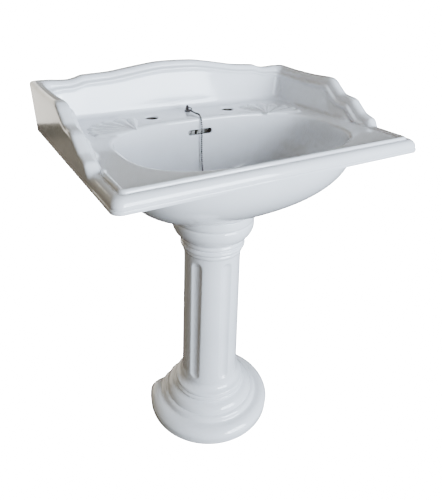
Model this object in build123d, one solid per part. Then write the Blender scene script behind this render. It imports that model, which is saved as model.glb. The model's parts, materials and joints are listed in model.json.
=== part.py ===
"""Pedestal basin: a ceramic basin with upstands on a fluted pedestal, with its waste, plug, chain and trap.

Millimetres. X to the right, Y towards the wall, Z up. The origin is on the floor, under the middle of the
basin's outline, so the front lip is at Y = -DEPTH / 2 and the wall face at Y = +DEPTH / 2.
"""

import math
import os

from build123d import *

os.makedirs("parts", exist_ok=True)

# Basin outline
WIDTH = 660.0
DEPTH = 480.0
SIDE = WIDTH / 2
FRONT = -DEPTH / 2
BACK = DEPTH / 2
CORNER_R = 14.0

# Basin levels
LIP_BOTTOM = 816.0
DECK_Z = 841.0
BEAD_TOP = 846.5
UPSTAND_Z = 920.0
CREST_Z = 946.0
DECK_UNDERSIDE = 825.0

# Lip moulding, as distances in from the outer face
FASCIA_TOP = 824.0
FASCIA_STEP = 1.6
OVOLO_IN = 17.0
BEAD_IN = 23.0
BEAD_R = 4.6
SKIRT_IN = 24.0

# Upstands
BACK_TOP_THICKNESS = 26.0
BACK_FOOT_THICKNESS = 33.0
SIDE_TOP_THICKNESS = 22.0
SIDE_FOOT_THICKNESS = 38.0
FOOT_FILLET = 11.0
SIDE_END_Y = FRONT + 106.0

# Bowl: superellipse sections that move back towards the waste as they go down
BOWL_HALF_X = 245.0
BOWL_HALF_Y = 151.0
BOWL_Y = FRONT + 190.0
BOWL_SHIFT = 60.0
BOWL_POWER = 2.8
BOWL_DEPTH_POWER = 2.15
BOWL_STRAIGHT_Z = 812.0
BOWL_FLOOR = 662.0
BOWL_WALL = 13.0
HULL_STRAIGHT_Z = 816.0
HULL_FLOOR = 650.0
EDGE_ROUND = 7.0

# Waste hole, and the boss that it goes through
WASTE_Y = BOWL_Y + BOWL_SHIFT
WASTE_HOLE_R = 22.5
BOSS_R = 38.0
BOSS_BOTTOM = 640.0
RECESS_R = 33.0
RECESS_Z = 661.5

# Overflow
SLOT_WIDTH = 62.0
SLOT_HEIGHT = 12.0
SLOT_Z = 809.0
CHANNEL_HALF = 30.0
CHANNEL_GAP = 9.0
CHANNEL_COVER = 9.0

# Holes in the deck
TAP_X = 100.0
TAP_Y = FRONT + 386.0
TAP_R = 14.5
STAY_Y = FRONT + 405.0
STAY_HOLE_R = 4.0

# Where the casting is divided into solids: the stretch of deck with the tap holes, the bowl's floor below
# its walls, and the band of wall with the overflow
LEDGE_HALF_X = 155.0
LEDGE_FRONT = FRONT + 354.5
LEDGE_BACK = FRONT + 424.0
BOWL_SPLIT_Z = 700.0
OVERFLOW_HALF_X = 42.0

# Wall rail under the deck's back edge
RAIL_HALF = 230.0
RAIL_BOTTOM = 762.0
RAIL_THICKNESS = 30.0
WALL_HOLE_X = 140.0
WALL_HOLE_Z = 786.0
WALL_HOLE_R = 7.0

# Pedestal
PED_Y = FRONT + 274.0
PED_TOP = 650.0
PED_CUT = 97.0
PED_SLOT_HALF = 42.0
FLUTE_ANGLES = (-124.0, -62.0, 0.0, 62.0, 124.0)
FLUTE_R = 20.0
FLUTE_DEPTH = 6.5
FLUTE_LOW = 144.0
FLUTE_HIGH = 526.0
SHAFT_LOW = (79.5, 130.0)
SHAFT_HIGH = (71.0, 538.0)
PAD_THICKNESS = 3.0
SEAT_R = 92.0
SEAT_WALL = 12.0

# Waste fitting
THREAD_R = 20.9
WASTE_BORE_R = 17.0
FLANGE_R = 31.5
FLANGE_THICKNESS = 3.0
SEAL_THICKNESS = 1.5
WASTE_END_Z = 580.0
GAP = 0.15

# Plug
PLUG_R = 20.0
PLUG_HEIGHT = 11.0
EYE_RISE = 9.0
RING_R = 7.0
RING_WIRE_R = 1.1

# Chain
CHAIN_R = 2.1

# Trap
TRAP_R = 28.0
TRAP_WALL = 2.5
TRAP_TOP = 570.0
CUP_TOP = 520.0
CUP_BOTTOM = 466.0
DIP_R = 16.0
OUTLET_Z = 545.0
PIPE_R = 16.0
PIPE_COLLAR_Y = 58.0


def ring(outer, inner, low, high, x=0.0, y=WASTE_Y):
    """A vertical tube or washer."""
    body = Pos(x, y, low) * Cylinder(outer, high - low, align=(Align.CENTER, Align.CENTER, Align.MIN))
    return body - Pos(x, y, low) * Cylinder(inner, high - low, align=(Align.CENTER, Align.CENTER, Align.MIN))


def rod(radius, low, high, x=0.0, y=WASTE_Y):
    """A vertical round bar."""
    return Pos(x, y, low) * Cylinder(radius, high - low, align=(Align.CENTER, Align.CENTER, Align.MIN))


def block(x_low, x_high, y_low, y_high, z_low, z_high):
    """A box from its two corners."""
    size = Box(x_high - x_low, y_high - y_low, z_high - z_low, align=(Align.MIN, Align.MIN, Align.MIN))
    return Pos(x_low, y_low, z_low) * size


def bar_y(radius, y_low, y_high, z):
    """A round bar along Y on the middle plane."""
    length = y_high - y_low
    return Pos(0, y_low + length / 2, z) * Rot(90, 0, 0) * Cylinder(radius, length)


def tube_y(outer, inner, y_low, y_high, z):
    """A round tube along Y on the middle plane."""
    return bar_y(outer, y_low, y_high, z) - bar_y(inner, y_low, y_high, z)


def along_x(outline, half_length):
    """Extrudes an outline given in (Y, Z) to both sides of the middle plane."""
    face = make_face(outline)
    return extrude(Plane.YZ * face, amount=half_length, both=True)


def along_y(outline, y_low, y_high):
    """Extrudes an outline given in (X, Z) from y_low to y_high."""
    face = make_face(outline)
    plane = Plane(origin=(0, y_high, 0), x_dir=(1, 0, 0), z_dir=(0, -1, 0))
    return extrude(plane * face, amount=y_high - y_low)


# Basin -------------------------------------------------------------------------------------------------


def lip_curve(outer, inward):
    """The lip moulding's edges, from the fascia's foot to the bead's top; inward is +1 or -1."""

    def at(inset, z):
        return (outer + inward * inset, z)

    ovolo_foot = at(FASCIA_STEP, FASCIA_TOP + 1.5)
    ovolo_top = at(OVOLO_IN, DECK_Z + 1.0)
    bead_foot = at(BEAD_IN - BEAD_R, DECK_Z + 1.0)
    bead_top = at(BEAD_IN, BEAD_TOP)
    return [
        Line(at(0, LIP_BOTTOM), at(0, FASCIA_TOP)),
        Line(at(0, FASCIA_TOP), ovolo_foot),
        ThreePointArc(ovolo_foot, at(6.5, FASCIA_TOP + 11.5), ovolo_top),
        Line(ovolo_top, bead_foot),
        ThreePointArc(bead_foot, at(BEAD_IN - 0.7 * BEAD_R, BEAD_TOP - 1.3), bead_top),
    ]


def deck_slab():
    """The deck's slab with the moulded lip: front section and side section, mitred at the corners."""
    front = lip_curve(FRONT, 1)
    top = Line((FRONT + BEAD_IN, BEAD_TOP), (BACK, BEAD_TOP))
    end = Line((BACK, BEAD_TOP), (BACK, LIP_BOTTOM))
    base = Line((BACK, LIP_BOTTOM), (FRONT, LIP_BOTTOM))
    lengthwise = along_x(front + [top, end, base], SIDE)
    left = lip_curve(-SIDE, 1)
    right = lip_curve(SIDE, -1)
    top = Line((-SIDE + BEAD_IN, BEAD_TOP), (SIDE - BEAD_IN, BEAD_TOP))
    base = Line((SIDE, LIP_BOTTOM), (-SIDE, LIP_BOTTOM))
    crosswise = along_y(left + [top] + right + [base], FRONT, BACK)
    outline = Pos(0, 0, LIP_BOTTOM) * extrude(rounded_front_outline(), amount=BEAD_TOP - LIP_BOTTOM)
    return (lengthwise & crosswise) & outline


def rounded_front_outline():
    """The basin's plan, with its two front corners rounded."""
    plan = Rectangle(WIDTH, DEPTH)
    front_corners = plan.vertices().sort_by(Axis.Y)[:2]
    return fillet(front_corners, CORNER_R)


def deck_recess():
    """The tray inside the bead: the space above the deck, with the bead's inner side as its edge."""
    high = BEAD_TOP + 1.0
    top_in = BEAD_IN + 0.5
    foot_in = BEAD_IN + BEAD_R + 1.5

    def side(outer, inward):
        crown = (outer + inward * top_in, BEAD_TOP)
        middle = (outer + inward * (top_in + 0.7 * BEAD_R), BEAD_TOP - 1.6)
        foot = (outer + inward * foot_in, DECK_Z)
        return [Line((crown[0], high), crown), ThreePointArc(crown, middle, foot)]

    front_edges = side(FRONT, 1)
    base = Line((FRONT + foot_in, DECK_Z), (BACK - BACK_TOP_THICKNESS, DECK_Z))
    end = Line((BACK - BACK_TOP_THICKNESS, DECK_Z), (BACK - BACK_TOP_THICKNESS, high))
    lid = Line((BACK - BACK_TOP_THICKNESS, high), (FRONT + top_in, high))
    lengthwise = along_x(front_edges + [base, end, lid], SIDE)
    base = Line((-SIDE + foot_in, DECK_Z), (SIDE - foot_in, DECK_Z))
    lid = Line((SIDE - top_in, high), (-SIDE + top_in, high))
    crosswise = along_y(side(-SIDE, 1) + [base] + side(SIDE, -1) + [lid], FRONT, BACK)
    return lengthwise & crosswise


def side_upstands():
    """Both side upstands: the scalloped outline in (Y, Z), cut to the tapered thickness in (X, Z)."""
    shoulder = (FRONT + 278, UPSTAND_Z)
    scallop = Spline(
        shoulder,
        (FRONT + 243, UPSTAND_Z - 17),
        (FRONT + 222, UPSTAND_Z - 29.5),
        (FRONT + 198, UPSTAND_Z - 31),
        (FRONT + 171, UPSTAND_Z - 43),
        (FRONT + 150, UPSTAND_Z - 56),
        (FRONT + 132, UPSTAND_Z - 61.5),
        (FRONT + 115, UPSTAND_Z - 80),
        (SIDE_END_Y, FASCIA_TOP),
        tangents=((-1, 0), (-0.35, -1)),
    )
    outline = [Line((BACK, UPSTAND_Z), shoulder)] + scallop.edges() + [
        Line((SIDE_END_Y, FASCIA_TOP), (SIDE_END_Y, LIP_BOTTOM)),
        Line((SIDE_END_Y, LIP_BOTTOM), (BACK, LIP_BOTTOM)),
        Line((BACK, LIP_BOTTOM), (BACK, UPSTAND_Z)),
    ]
    profile = along_x(outline, SIDE)
    foot = SIDE - SIDE_FOOT_THICKNESS
    face_foot = (foot, DECK_Z + FOOT_FILLET)
    section = [
        Line((SIDE, LIP_BOTTOM), (SIDE, CREST_Z)),
        Line((SIDE, CREST_Z), (SIDE - SIDE_TOP_THICKNESS, CREST_Z)),
        Line((SIDE - SIDE_TOP_THICKNESS, CREST_Z), face_foot),
        RadiusArc(face_foot, (foot - FOOT_FILLET, DECK_Z), FOOT_FILLET * 1.2),
        Line((foot - FOOT_FILLET, DECK_Z), (foot - FOOT_FILLET, LIP_BOTTOM)),
        Line((foot - FOOT_FILLET, LIP_BOTTOM), (SIDE, LIP_BOTTOM)),
    ]
    right = profile & along_y(section, SIDE_END_Y, BACK)
    return right + mirror(right, about=Plane.YZ)


def back_upstand():
    """The back upstand: a crest over the middle, stepping down to level ears at the corners."""
    crest = Spline(
        (-SIDE, UPSTAND_Z),
        (-258, UPSTAND_Z - 1.5),
        (-238, UPSTAND_Z + 1.5),
        (-222, UPSTAND_Z + 6),
        (-160, UPSTAND_Z + 9),
        (-90, UPSTAND_Z + 20),
        (0, CREST_Z),
        (90, UPSTAND_Z + 20),
        (160, UPSTAND_Z + 9),
        (222, UPSTAND_Z + 6),
        (238, UPSTAND_Z + 1.5),
        (258, UPSTAND_Z - 1.5),
        (SIDE, UPSTAND_Z),
    )
    outline = crest.edges() + [
        Line((SIDE, UPSTAND_Z), (SIDE, LIP_BOTTOM)),
        Line((SIDE, LIP_BOTTOM), (-SIDE, LIP_BOTTOM)),
        Line((-SIDE, LIP_BOTTOM), (-SIDE, UPSTAND_Z)),
    ]
    foot = BACK - BACK_FOOT_THICKNESS
    face_foot = (foot, DECK_Z + FOOT_FILLET)
    section = [
        Line((BACK, LIP_BOTTOM), (BACK, CREST_Z + 1)),
        Line((BACK, CREST_Z + 1), (BACK - BACK_TOP_THICKNESS, CREST_Z + 1)),
        Line((BACK - BACK_TOP_THICKNESS, CREST_Z + 1), face_foot),
        RadiusArc(face_foot, (foot - FOOT_FILLET, DECK_Z), FOOT_FILLET * 1.2),
        Line((foot - FOOT_FILLET, DECK_Z), (foot - FOOT_FILLET, LIP_BOTTOM)),
        Line((foot - FOOT_FILLET, LIP_BOTTOM), (BACK, LIP_BOTTOM)),
    ]
    return along_y(outline, BACK - 60, BACK) & along_x(section, SIDE)


def oval(half_x, half_y, centre_y, z):
    """A closed superellipse wire at height z."""
    points = []
    for step in range(28):
        angle = 2 * math.pi * step / 28
        c = math.cos(angle)
        s = math.sin(angle)
        x = half_x * math.copysign(abs(c) ** (2 / BOWL_POWER), c)
        y = half_y * math.copysign(abs(s) ** (2 / BOWL_POWER), s)
        points.append((x, centre_y + y, z))
    return Face(Wire(Spline(*points, periodic=True).edges()))


def bowl_loft(half_x, half_y, straight_z, floor_z, top_z):
    """The bowl's round form between top_z and floor_z: inner space, or the hull around it."""
    sections = [oval(half_x, half_y, BOWL_Y, top_z), oval(half_x, half_y, BOWL_Y, straight_z)]
    for fraction in (0.2, 0.4, 0.55, 0.7, 0.8, 0.88, 0.94, 0.98):
        scale = (1 - fraction**BOWL_DEPTH_POWER) ** (1 / BOWL_DEPTH_POWER)
        z = straight_z - fraction * (straight_z - floor_z)
        centre = BOWL_Y + BOWL_SHIFT * fraction**2
        sections.append(oval(half_x * scale, half_y * scale, centre, z))
    return loft(sections)


def bowl_edge():
    """The rounded edge between the deck and the bowl, as the space that it leaves open."""
    sections = []
    for angle in (90, 60, 30, 0):
        turn = math.radians(angle)
        grow = EDGE_ROUND * (1 - math.cos(turn))
        z = DECK_Z - EDGE_ROUND * (1 - math.sin(turn))
        sections.append(oval(BOWL_HALF_X + grow, BOWL_HALF_Y + grow, BOWL_Y, z))
    return loft(sections)


def back_line(offset, fractions):
    """Points (Y, Z) down the bowl's back wall on the middle plane, offset outwards from its inner face."""
    points = []
    for fraction in fractions:
        scale = (1 - fraction**BOWL_DEPTH_POWER) ** (1 / BOWL_DEPTH_POWER)
        depth = BOWL_STRAIGHT_Z - BOWL_FLOOR
        y = BOWL_Y + BOWL_SHIFT * fraction**2 + (BOWL_HALF_Y + offset) * scale
        points.append((y, BOWL_STRAIGHT_Z - fraction * (depth + offset)))
    return points


def overflow_band(inner, outer, half_width, top):
    """A band that follows the bowl's back wall from the overflow slot down to the waste boss."""
    fractions = (0.0, 0.25, 0.45, 0.62, 0.76, 0.87, 0.945, 0.985)
    near = back_line(inner, fractions)
    far = back_line(outer, fractions)
    edges = [
        Line((near[0][0], top), near[0]),
        Spline(*near),
        Line(near[-1], (WASTE_Y, near[-1][1])),
        Line((WASTE_Y, near[-1][1]), (WASTE_Y, far[-1][1])),
        Line((WASTE_Y, far[-1][1]), far[-1]),
        Spline(*reversed(far)),
        Line(far[0], (far[0][0], top)),
        Line((far[0][0], top), (near[0][0], top)),
    ]
    band = along_x(edges, half_width)
    return band - block(-SIDE, SIDE, FRONT, BACK, 0, BOSS_BOTTOM)


def pedestal_seat():
    """The ring under the bowl that stands on the pedestal's pad."""
    low = PED_TOP + PAD_THICKNESS
    seat = ring(SEAT_R, SEAT_R - SEAT_WALL, low, low + 60, 0, PED_Y)
    inside = bowl_loft(BOWL_HALF_X, BOWL_HALF_Y, BOWL_STRAIGHT_Z, BOWL_FLOOR + 4, DECK_Z)
    behind = block(-SIDE, SIDE, PED_Y + 40, BACK, low - 1, low + 70)
    return seat - inside - behind


def casting():
    """The basin's whole casting."""
    skirt = SIDE - SKIRT_IN
    under = block(-skirt, skirt, FRONT + SKIRT_IN, BACK - RAIL_THICKNESS, LIP_BOTTOM - 1, DECK_UNDERSIDE)
    rail = block(-RAIL_HALF, RAIL_HALF, BACK - RAIL_THICKNESS, BACK, RAIL_BOTTOM, DECK_Z - 2)
    body = deck_slab() - deck_recess()
    body += side_upstands()
    body += back_upstand()
    body -= under
    body += rail
    hull_x = BOWL_HALF_X + BOWL_WALL
    hull_y = BOWL_HALF_Y + BOWL_WALL
    body += bowl_loft(hull_x, hull_y, HULL_STRAIGHT_Z, HULL_FLOOR, DECK_Z - 3)
    body += rod(BOSS_R, BOSS_BOTTOM, HULL_FLOOR + 10)
    body += pedestal_seat()
    cover = BOWL_WALL + CHANNEL_GAP
    body += overflow_band(0.5 * BOWL_WALL, cover + CHANNEL_COVER, CHANNEL_HALF + CHANNEL_COVER, DECK_Z - 3)
    body -= overflow_band(BOWL_WALL, cover, CHANNEL_HALF, SLOT_Z + SLOT_HEIGHT / 2)
    body -= bowl_loft(BOWL_HALF_X, BOWL_HALF_Y, BOWL_STRAIGHT_Z, BOWL_FLOOR, DECK_Z)
    body -= bowl_edge()
    slot_start = BOWL_Y + BOWL_HALF_Y - 20
    slot_face = Plane(origin=(0, slot_start, SLOT_Z), x_dir=(1, 0, 0), z_dir=(0, 1, 0)) * SlotOverall(
        SLOT_WIDTH, SLOT_HEIGHT
    )
    body -= extrude(slot_face, amount=20 + BOWL_WALL + CHANNEL_GAP / 2)
    body -= rod(WASTE_HOLE_R, BOSS_BOTTOM - 1, DECK_Z)
    body -= rod(RECESS_R, RECESS_Z, DECK_Z)
    for side in (-1, 1):
        body -= rod(TAP_R, DECK_Z - 40, DECK_Z + 10, side * TAP_X, TAP_Y)
        hole = Pos(side * WALL_HOLE_X, BACK - 20, WALL_HOLE_Z) * Rot(90, 0, 0) * Cylinder(WALL_HOLE_R, 60)
        body -= hole
    body -= rod(STAY_HOLE_R, DECK_Z - 40, DECK_Z + 10, 0, STAY_Y)
    return body


def casting_parts():
    """The casting as solids that meet face to face, so that each keeps its hollow open in collision."""
    whole = casting()
    rail_front = BACK - RAIL_THICKNESS
    below = block(-SIDE, SIDE, FRONT, rail_front, BOSS_BOTTOM - 1, LIP_BOTTOM)
    floor = block(-SIDE, SIDE, FRONT, rail_front, BOSS_BOTTOM - 1, BOWL_SPLIT_Z)
    ledge = block(-LEDGE_HALF_X, LEDGE_HALF_X, LEDGE_FRONT, LEDGE_BACK, DECK_UNDERSIDE, DECK_Z + 1)
    band = block(-OVERFLOW_HALF_X, OVERFLOW_HALF_X, BOWL_Y, rail_front, BOWL_SPLIT_Z, LIP_BOTTOM)
    parts = {
        "basin_deck": whole - below - ledge,
        "basin_tap_ledge": whole & ledge,
        "basin_bowl_floor": whole & floor,
        "basin_overflow": whole & band,
    }
    walls = (whole & below) - band
    for across, x_low, x_high in (("left", -SIDE, 0), ("right", 0, SIDE)):
        for along, y_low, y_high in (("front", FRONT, BOWL_Y), ("back", BOWL_Y, rail_front)):
            quarter = block(x_low, x_high, y_low, y_high, BOWL_SPLIT_Z, LIP_BOTTOM)
            parts[f"basin_wall_{along}_{across}"] = walls & quarter
    return parts


# Pedestal ----------------------------------------------------------------------------------------------


def pedestal_outside():
    """The turned outside: plinth, torus rings, shaft, capital rings and ovolo."""
    edges = [
        Line((0, 0), (176, 0)),
        Line((176, 0), (177, 24)),
        ThreePointArc((177, 24), (168, 38), (147, 45)),
        Line((147, 45), (140, 47)),
        Line((140, 47), (137, 52)),
        ThreePointArc((137, 52), (133, 57), (127, 60)),
        ThreePointArc((127, 60), (121, 74), (107, 84)),
        Line((107, 84), (101, 88)),
        ThreePointArc((101, 88), (102.5, 92), (101, 96)),
        Line((101, 96), (97, 98)),
        ThreePointArc((97, 98), (98.5, 104), (96, 110)),
        ThreePointArc((96, 110), (83, 118), SHAFT_LOW),
        Line(SHAFT_LOW, SHAFT_HIGH),
        Line(SHAFT_HIGH, (73, 540)),
        ThreePointArc((73, 540), (75, 544.5), (73, 549)),
        Line((73, 549), (75, 551)),
        ThreePointArc((75, 551), (80, 557.5), (75.5, 564)),
        Line((75.5, 564), (77, 566)),
        ThreePointArc((77, 566), (79, 570.5), (77, 575)),
        Line((77, 575), (78, 579)),
        ThreePointArc((78, 579), (94.5, 595), (99, 622)),
        Line((99, 622), (97, 624)),
        Line((97, 624), (97, 628)),
        Line((97, 628), (100, 630)),
        Line((100, 630), (99.5, PED_TOP)),
        Line((99.5, PED_TOP), (0, PED_TOP)),
        Line((0, PED_TOP), (0, 0)),
    ]
    return revolve(Plane.XZ * make_face(edges), Axis.Z)


def pedestal_inside():
    """The hollow inside the pedestal."""
    points = [(0, -1), (160, -1), (160, 18), (122, 38), (92, 64), (67, 108), (65, 130)]
    points += [(59, 538), (60, 572), (82, 606), (86, PED_TOP + 1), (0, PED_TOP + 1)]
    return revolve(Plane.XZ * make_face(Polyline(*points, close=True)), Axis.Z)


def flute(angle):
    """One stopped flute's cutter: a round bar with ball ends that follows the shaft's taper."""
    out = FLUTE_R - FLUTE_DEPTH
    reach = math.sqrt(FLUTE_R**2 - out**2)
    taper = (SHAFT_LOW[0] - SHAFT_HIGH[0]) / (SHAFT_HIGH[1] - SHAFT_LOW[1])

    def centre(z):
        return (0, -(SHAFT_LOW[0] - taper * (z - SHAFT_LOW[1]) + out), z)

    low = centre(FLUTE_LOW + reach)
    high = centre(FLUTE_HIGH - reach)
    length = math.dist(low, high)
    lean = math.degrees(math.atan(taper))
    upright = (Align.CENTER, Align.CENTER, Align.MIN)
    bar = Pos(*low) * Rot(-lean, 0, 0) * Cylinder(FLUTE_R, length, align=upright)
    cutter = bar + Pos(*low) * Sphere(FLUTE_R) + Pos(*high) * Sphere(FLUTE_R)
    return Rot(0, 0, angle) * cutter


def pedestal():
    """The column: hollow, with its back cut flat and open for the pipes."""
    body = pedestal_outside() - pedestal_inside()
    for angle in FLUTE_ANGLES:
        body -= flute(angle)
    body -= block(-SIDE, SIDE, PED_CUT, PED_CUT + SIDE, -1, PED_TOP + 1)
    body -= block(-PED_SLOT_HALF, PED_SLOT_HALF, 0, PED_CUT + 1, -1, PED_TOP + 1)
    return Pos(0, PED_Y, 0) * body


def seat_pad():
    """The soft pad between the pedestal's top and the basin's seat: a ring, open at the back."""
    pad = ring(SEAT_R, SEAT_R - SEAT_WALL + 6.5, PED_TOP, PED_TOP + PAD_THICKNESS, 0, PED_Y)
    return pad - block(-SIDE, SIDE, PED_Y + 38, BACK, PED_TOP - 1, PED_TOP + 5)


# Waste, from the flange down -----------------------------------------------------------------------------

FLANGE_LOW = RECESS_Z + SEAL_THICKNESS
FLANGE_TOP = FLANGE_LOW + FLANGE_THICKNESS


def waste_body():
    """Slotted waste: flange with a tapered seat, threaded tube, and slots that take the overflow."""
    body = rod(FLANGE_R, FLANGE_LOW, FLANGE_TOP) + rod(THREAD_R, WASTE_END_Z, FLANGE_LOW)
    body = fillet(body.edges().group_by(Axis.Z)[-1], 1.2)
    body -= rod(WASTE_BORE_R, WASTE_END_Z - 1, FLANGE_TOP + 1)
    seat = Cone(WASTE_BORE_R, PLUG_R + 1.5, 9, align=(Align.CENTER, Align.CENTER, Align.MAX))
    body -= Pos(0, WASTE_Y, FLANGE_TOP) * seat
    slot = block(-5, 5, -THREAD_R - 1, THREAD_R + 1, BOSS_BOTTOM + 2, BOSS_BOTTOM + 13)
    for angle in (0, 90):
        body -= Pos(0, WASTE_Y, 0) * Rot(0, 0, angle) * slot
    return body


def hexagon(across_flats, bore, low, high):
    """A hexagonal nut with its bore on the waste's axis."""
    prism = extrude(RegularPolygon(across_flats / 2, 6, major_radius=False), amount=high - low)
    return Pos(0, WASTE_Y, low) * prism - rod(bore, low - 1, high + 1)


def collar(inner, low, high, outer):
    """A hand nut with grip ribs round it."""
    body = ring(outer, inner, low, high)
    grips = PolarLocations(outer, 16)
    notch = Cylinder(1.6, high - low + 2, align=(Align.CENTER, Align.CENTER, Align.MIN))
    return body - Pos(0, WASTE_Y, low - 1) * grips * notch


def turned_to_wall(shape):
    """Turns a piece made round the waste's axis at Z = 0 so that it lies round the outlet's axis."""
    return Pos(0, WASTE_Y, OUTLET_Z) * Rot(-90, 0, 0) * Pos(0, -WASTE_Y, 0) * shape


# Plug ------------------------------------------------------------------------------------------------

PLUG_LOW = FLANGE_TOP - 7.0
EYE_Z = PLUG_LOW + PLUG_HEIGHT + EYE_RISE
PLUG_RING_LEAN = 80.0
STAY_RING_LEAN = -100.0


def plug_body():
    """The turned metal plug, tapered under its cap, with a groove for its sealing ring."""
    cap = rod(PLUG_R + 0.6, FLANGE_TOP + 1.2, PLUG_LOW + PLUG_HEIGHT)
    cap = fillet(cap.edges().group_by(Axis.Z)[-1], 1.6)
    taper = Cone(WASTE_BORE_R - 1.5, PLUG_R - 2.0, FLANGE_TOP + 1.2 - PLUG_LOW,
                 align=(Align.CENTER, Align.CENTER, Align.MIN))
    body = cap + Pos(0, WASTE_Y, PLUG_LOW) * taper
    return body - ring(PLUG_R + 2, PLUG_R - 4.5, FLANGE_TOP - 3.0, FLANGE_TOP + 0.4)


def plug_seal_ring():
    """The rubber ring in the plug's groove."""
    return ring(PLUG_R - 0.5, PLUG_R - 4.4, FLANGE_TOP - 2.9, FLANGE_TOP + 0.3)


def plug_eye():
    """The upright lug on the plug, with its hole along X."""
    top = PLUG_LOW + PLUG_HEIGHT
    stem = block(-1.5, 1.5, WASTE_Y - 4, WASTE_Y + 4, top, EYE_Z)
    head = Pos(0, WASTE_Y, EYE_Z) * Rot(0, 90, 0) * Cylinder(4, 3)
    hole = Pos(0, WASTE_Y, EYE_Z) * Rot(0, 90, 0) * Cylinder(2.2, 5)
    return stem + head - hole


def leaning_ring(y, z, lean):
    """A wire ring through an eye at (y, z), leaning from upright towards the wall by an angle."""
    turn = math.radians(lean)
    centre = (0, y + RING_R * math.sin(turn), z + RING_R * math.cos(turn))
    return Pos(*centre) * Rot(90 - lean, 0, 0) * Torus(RING_R, RING_WIRE_R)


# Chain -----------------------------------------------------------------------------------------------

STAY_EYE_Z = DECK_Z + 9.0
CHAIN_ROUTE = [
    (0.0, FRONT + 384.0, DECK_Z + 5.6),
    (0.5, FRONT + 374.0, DECK_Z + 4.2),
    (0.8, FRONT + 363.0, DECK_Z + 4.7),
    (0.5, FRONT + 351.0, DECK_Z + 6.4),
    (0.0, FRONT + 339.5, DECK_Z + 1.5),
    (0.0, FRONT + 334.5, DECK_Z - 12.0),
    (0.2, FRONT + 334.6, DECK_Z - 36.0),
    (0.4, FRONT + 335.0, DECK_Z - 70.0),
    (0.2, FRONT + 333.0, DECK_Z - 103.0),
    (0.0, FRONT + 326.5, DECK_Z - 130.0),
    (0.0, FRONT + 315.0, DECK_Z - 149.0),
    (0.0, FRONT + 300.0, DECK_Z - 159.0),
    (0.0, FRONT + 285.0, DECK_Z - 160.5),
    (0.0, FRONT + 274.0, DECK_Z - 160.5),
]


def corner_radii(points):
    """The largest tangent arc that each corner's two runs allow."""
    radii = []
    for before, here, after in zip(points, points[1:], points[2:]):
        run_in = Vector(*here) - Vector(*before)
        run_out = Vector(*after) - Vector(*here)
        turn = math.radians(run_in.get_angle(run_out))
        radii.append(0.45 * min(run_in.length, run_out.length) / math.tan(turn / 2))
    return radii


def plug_chain():
    """The chain as a tube of straight runs joined by tangent arcs."""
    radii = corner_radii(CHAIN_ROUTE)
    path = FilletPolyline(*CHAIN_ROUTE, radius=radii)
    start = Plane(origin=path @ 0, z_dir=path % 0)
    tube = sweep(start * Circle(CHAIN_R), path=path)
    print("chain radii", [round(r, 1) for r in radii], "length", round(path.length, 1))
    print("chain volume ratio", tube.volume / (math.pi * CHAIN_R**2 * path.length))
    return tube


def end_link(end, neighbour, length):
    """The small barrel that carries the chain's end on towards a wire ring."""
    direction = Vector(*end) - Vector(*neighbour)
    barrel = Cylinder(2.1, length, align=(Align.CENTER, Align.CENTER, Align.MIN))
    return Plane(origin=end, z_dir=direction) * barrel


def chain_stay():
    """The eye bolt that holds the chain: threaded stem through the deck, collar and eye."""
    stem = rod(3.0, DECK_Z - 40, DECK_Z + 1.4, 0, STAY_Y)
    foot = rod(6.0, DECK_Z + 1.2, DECK_Z + 3.2, 0, STAY_Y)
    neck = rod(2.0, DECK_Z + 3.2, STAY_EYE_Z - 3.0, 0, STAY_Y)
    eye = Pos(0, STAY_Y, STAY_EYE_Z) * Rot(0, 90, 0) * Torus(4.2, 1.6)
    return stem + foot + neck + eye


# Trap -------------------------------------------------------------------------------------------------


def trap_body():
    """The bottle trap's upper shell, with its inlet neck and its outlet branch."""
    body = rod(TRAP_R, CUP_TOP, TRAP_TOP) + rod(24.0, TRAP_TOP, TRAP_TOP + 6)
    branch = bar_y(TRAP_WALL + PIPE_R + 1.0, WASTE_Y, WASTE_Y + TRAP_R + 12, OUTLET_Z)
    body += branch
    body += rod(TRAP_R - 3.2, CUP_TOP - 12, CUP_TOP)
    body -= rod(TRAP_R - 3.2 - TRAP_WALL, CUP_TOP - 13, TRAP_TOP - TRAP_WALL)
    body -= rod(DIP_R + 0.1, TRAP_TOP - 10, TRAP_TOP + 7)
    return body - bar_y(PIPE_R + 0.2, WASTE_Y, WASTE_Y + TRAP_R + 13, OUTLET_Z)


def trap_dip_tube():
    """The tube that carries the waste water down into the cup."""
    return ring(DIP_R, DIP_R - 2, CUP_BOTTOM + 18, TRAP_TOP + 6)


def trap_cup():
    """The cup that screws off for cleaning."""
    body = rod(TRAP_R, CUP_BOTTOM, CUP_TOP - 1.2)
    body = fillet(body.edges().group_by(Axis.Z)[0], 8)
    body -= rod(TRAP_R - TRAP_WALL, CUP_BOTTOM + TRAP_WALL + 1, CUP_TOP)
    grips = PolarLocations(TRAP_R, 20)
    notch = Cylinder(1.2, 22, align=(Align.CENTER, Align.CENTER, Align.MIN))
    return body - Pos(0, WASTE_Y, CUP_BOTTOM + 10) * grips * notch


def waste_pipe():
    """The outlet pipe, from the trap's branch to the wall, with a stop collar outside the trap's nut."""
    start = WASTE_Y + TRAP_R + 1
    body = tube_y(PIPE_R, PIPE_R - 2, start, BACK, OUTLET_Z)
    return body + tube_y(PIPE_R + 2, PIPE_R - 1, PIPE_COLLAR_Y, PIPE_COLLAR_Y + 3, OUTLET_Z)


def outlet_nut():
    """The hand nut on the trap's outlet branch."""
    return turned_to_wall(collar(PIPE_R + 0.3, TRAP_R + 14.2, TRAP_R + 18, 22.0)
                          + collar(TRAP_WALL + PIPE_R + 1.2, TRAP_R + 2, TRAP_R + 14.2, 22.0))


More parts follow.
